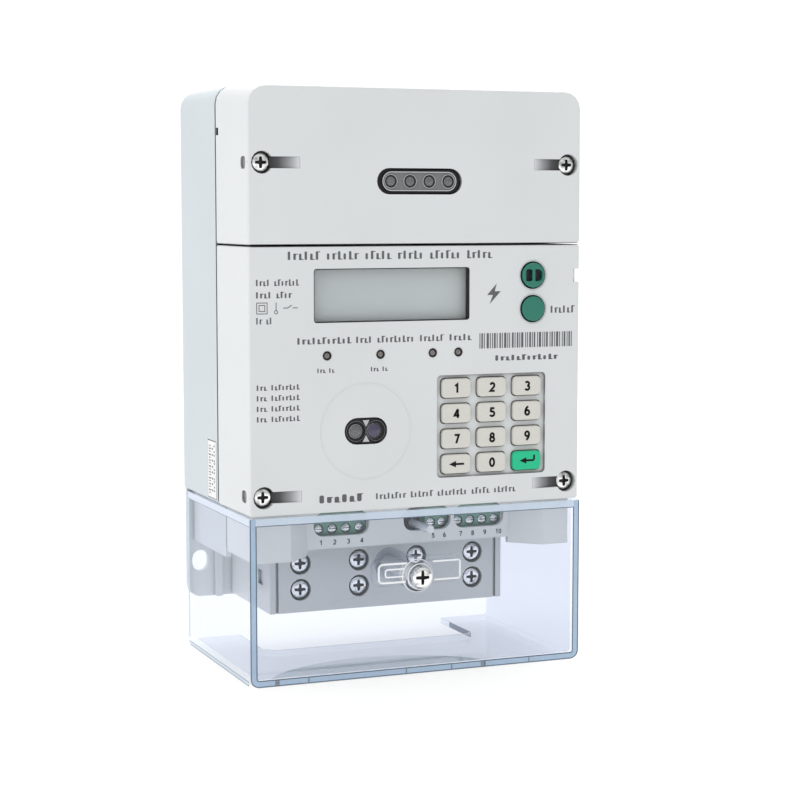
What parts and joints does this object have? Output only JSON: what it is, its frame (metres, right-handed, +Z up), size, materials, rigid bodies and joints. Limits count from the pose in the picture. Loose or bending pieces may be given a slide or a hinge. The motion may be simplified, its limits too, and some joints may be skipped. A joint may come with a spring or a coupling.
{
  "type": "prepaid electricity meter",
  "caption": "Wall-hung single-phase prepaid electricity meter with keypad, display window, plug-in module cap and a clear terminal cover over screw terminals.",
  "frame": {"origin": "centre of the base's wall face, at half the overall height", "axes": "+Z up the meter, +Y into the wall, so the front faces -Y; +X to the right as the front is read"},
  "size_m": [0.13, 0.084, 0.2134],
  "materials": {
    "housing_plastic": "light grey moulded polycarbonate with a fine satin texture",
    "base_plastic": "light grey moulded polycarbonate, slightly bluer, satin",
    "clear_plastic": "clear polished polycarbonate with a pale blue edge",
    "block_plastic": "mid grey glass-filled moulding",
    "brass": "machined brass",
    "plated_steel": "bright zinc-nickel plated steel",
    "key_rubber": "warm light grey silicone rubber with printed figures",
    "enter_rubber": "green silicone rubber",
    "button_plastic": "dark green moulded plastic",
    "display_glass": "grey-green reflective liquid crystal glass",
    "dark_window": "infrared-black polished plastic",
    "led_lens": "clear epoxy lens, unlit",
    "green_block": "green nylon",
    "circuit_board": "green solder mask on glass-epoxy board",
    "black_plastic": "black moulded plastic",
    "seal_rubber": "dark grey soft rubber",
    "label_film": "white printed film"
  },
  "bodies": {
    "housing": {"rear_base": "base_plastic", "front_housing": "housing_plastic", "housing_gasket": "seal_rubber", "terminal_block": "block_plastic", "brass_terminal_1": "brass", "brass_terminal_2": "brass", "brass_terminal_3": "brass", "brass_terminal_4": "brass", "aux_terminals_left": "green_block", "aux_terminals_centre": "green_block", "aux_terminals_right": "green_block", "lcd_window": "clear_plastic", "lcd_panel": "display_glass", "lcd_backlight": "label_film", "keypad_mat": "seal_rubber", "status_led_1": "led_lens", "status_led_2": "led_lens", "status_led_3": "led_lens", "status_led_4": "led_lens", "optical_window": "dark_window", "optical_plate": "plated_steel", "main_board": "circuit_board", "module_board": "circuit_board", "latching_relay": "black_plastic", "current_shunt": "brass", "supply_transformer": "black_plastic", "backup_battery": "label_film", "cover_open_switch": "black_plastic", "rating_label": "label_film"},
    "module_cap": {"module_cover": "housing_plastic", "module_window": "dark_window"},
    "clear_cover": {"terminal_cover": "clear_plastic"},
    "cover_screw": {"terminal_cover_screw": "plated_steel"},
    "housing_screw_left": {"housing_screw_left": "plated_steel"},
    "module_screw_left": {"module_screw_left": "plated_steel"},
    "housing_screw_right": {"housing_screw_right": "plated_steel"},
    "module_screw_right": {"module_screw_right": "plated_steel"},
    "key_1": {"key_1": "key_rubber"},
    "key_2": {"key_2": "key_rubber"},
    "key_3": {"key_3": "key_rubber"},
    "key_4": {"key_4": "key_rubber"},
    "key_5": {"key_5": "key_rubber"},
    "key_6": {"key_6": "key_rubber"},
    "key_7": {"key_7": "key_rubber"},
    "key_8": {"key_8": "key_rubber"},
    "key_9": {"key_9": "key_rubber"},
    "key_back": {"key_back": "key_rubber"},
    "key_0": {"key_0": "key_rubber"},
    "key_enter": {"key_enter": "enter_rubber"},
    "reset_button": {"reset_button": "button_plastic"},
    "scroll_button": {"scroll_button": "button_plastic"},
    "terminal_screw_1": {"terminal_screw_1": "plated_steel"},
    "terminal_screw_2": {"terminal_screw_2": "plated_steel"},
    "terminal_screw_3": {"terminal_screw_3": "plated_steel"},
    "terminal_screw_4": {"terminal_screw_4": "plated_steel"},
    "terminal_screw_5": {"terminal_screw_5": "plated_steel"},
    "terminal_screw_6": {"terminal_screw_6": "plated_steel"},
    "terminal_screw_7": {"terminal_screw_7": "plated_steel"},
    "terminal_screw_8": {"terminal_screw_8": "plated_steel"},
    "wall_hanger": {"wall_hanger": "plated_steel"}
  },
  "joints": [
    {"name": "clear_cover_lift_off", "type": "slide", "parent": "housing", "child": "clear_cover", "axis": [0, -1, 0], "range_m": [0, 0.09]},
    {"name": "module_cap_lift_off", "type": "slide", "parent": "housing", "child": "module_cap", "axis": [0, -1, 0], "range_m": [0, 0.045]},
    {"name": "cover_screw_turn", "type": "hinge", "parent": "clear_cover", "child": "cover_screw", "pos_m": [0, -0.084, -0.07065], "axis": [0, -1, 0], "continuous": true},
    {"name": "housing_screw_left_turn", "type": "hinge", "parent": "housing", "child": "housing_screw_left", "pos_m": [-0.0592, -0.0793, -0.03875], "axis": [0, -1, 0], "continuous": true},
    {"name": "module_screw_left_turn", "type": "hinge", "parent": "module_cap", "child": "module_screw_left", "pos_m": [-0.0592, -0.0793, 0.07855], "axis": [0, -1, 0], "continuous": true},
    {"name": "housing_screw_right_turn", "type": "hinge", "parent": "housing", "child": "housing_screw_right", "pos_m": [0.0592, -0.0793, -0.03875], "axis": [0, -1, 0], "continuous": true},
    {"name": "module_screw_right_turn", "type": "hinge", "parent": "module_cap", "child": "module_screw_right", "pos_m": [0.0592, -0.0793, 0.07855], "axis": [0, -1, 0], "continuous": true},
    {"name": "key_1_press", "type": "slide", "parent": "housing", "child": "key_1", "axis": [0, 1, 0], "range_m": [0, 0.001], "stiffness_N_per_m": 1000},
    {"name": "key_2_press", "type": "slide", "parent": "housing", "child": "key_2", "axis": [0, 1, 0], "range_m": [0, 0.001], "stiffness_N_per_m": 1000},
    {"name": "key_3_press", "type": "slide", "parent": "housing", "child": "key_3", "axis": [0, 1, 0], "range_m": [0, 0.001], "stiffness_N_per_m": 1000},
    {"name": "key_4_press", "type": "slide", "parent": "housing", "child": "key_4", "axis": [0, 1, 0], "range_m": [0, 0.001], "stiffness_N_per_m": 1000},
    {"name": "key_5_press", "type": "slide", "parent": "housing", "child": "key_5", "axis": [0, 1, 0], "range_m": [0, 0.001], "stiffness_N_per_m": 1000},
    {"name": "key_6_press", "type": "slide", "parent": "housing", "child": "key_6", "axis": [0, 1, 0], "range_m": [0, 0.001], "stiffness_N_per_m": 1000},
    {"name": "key_7_press", "type": "slide", "parent": "housing", "child": "key_7", "axis": [0, 1, 0], "range_m": [0, 0.001], "stiffness_N_per_m": 1000},
    {"name": "key_8_press", "type": "slide", "parent": "housing", "child": "key_8", "axis": [0, 1, 0], "range_m": [0, 0.001], "stiffness_N_per_m": 1000},
    {"name": "key_9_press", "type": "slide", "parent": "housing", "child": "key_9", "axis": [0, 1, 0], "range_m": [0, 0.001], "stiffness_N_per_m": 1000},
    {"name": "key_back_press", "type": "slide", "parent": "housing", "child": "key_back", "axis": [0, 1, 0], "range_m": [0, 0.001], "stiffness_N_per_m": 1000},
    {"name": "key_0_press", "type": "slide", "parent": "housing", "child": "key_0", "axis": [0, 1, 0], "range_m": [0, 0.001], "stiffness_N_per_m": 1000},
    {"name": "key_enter_press", "type": "slide", "parent": "housing", "child": "key_enter", "axis": [0, 1, 0], "range_m": [0, 0.001], "stiffness_N_per_m": 1000},
    {"name": "reset_button_press", "type": "slide", "parent": "housing", "child": "reset_button", "axis": [0, 1, 0], "range_m": [0, 0.001], "stiffness_N_per_m": 800},
    {"name": "scroll_button_press", "type": "slide", "parent": "housing", "child": "scroll_button", "axis": [0, 1, 0], "range_m": [0, 0.001], "stiffness_N_per_m": 800},
    {"name": "terminal_screw_1_back_out", "type": "slide", "parent": "housing", "child": "terminal_screw_1", "axis": [0, -1, 0], "range_m": [0, 0.0055]},
    {"name": "terminal_screw_2_back_out", "type": "slide", "parent": "housing", "child": "terminal_screw_2", "axis": [0, -1, 0], "range_m": [0, 0.0055]},
    {"name": "terminal_screw_3_back_out", "type": "slide", "parent": "housing", "child": "terminal_screw_3", "axis": [0, -1, 0], "range_m": [0, 0.0055]},
    {"name": "terminal_screw_4_back_out", "type": "slide", "parent": "housing", "child": "terminal_screw_4", "axis": [0, -1, 0], "range_m": [0, 0.0055]},
    {"name": "terminal_screw_5_back_out", "type": "slide", "parent": "housing", "child": "terminal_screw_5", "axis": [0, -1, 0], "range_m": [0, 0.0055]},
    {"name": "terminal_screw_6_back_out", "type": "slide", "parent": "housing", "child": "terminal_screw_6", "axis": [0, -1, 0], "range_m": [0, 0.0055]},
    {"name": "terminal_screw_7_back_out", "type": "slide", "parent": "housing", "child": "terminal_screw_7", "axis": [0, -1, 0], "range_m": [0, 0.0055]},
    {"name": "terminal_screw_8_back_out", "type": "slide", "parent": "housing", "child": "terminal_screw_8", "axis": [0, -1, 0], "range_m": [0, 0.0055]},
    {"name": "hanger_extend", "type": "slide", "parent": "housing", "child": "wall_hanger", "axis": [0, 0, 1], "range_m": [0, 0.012]}
  ]
}
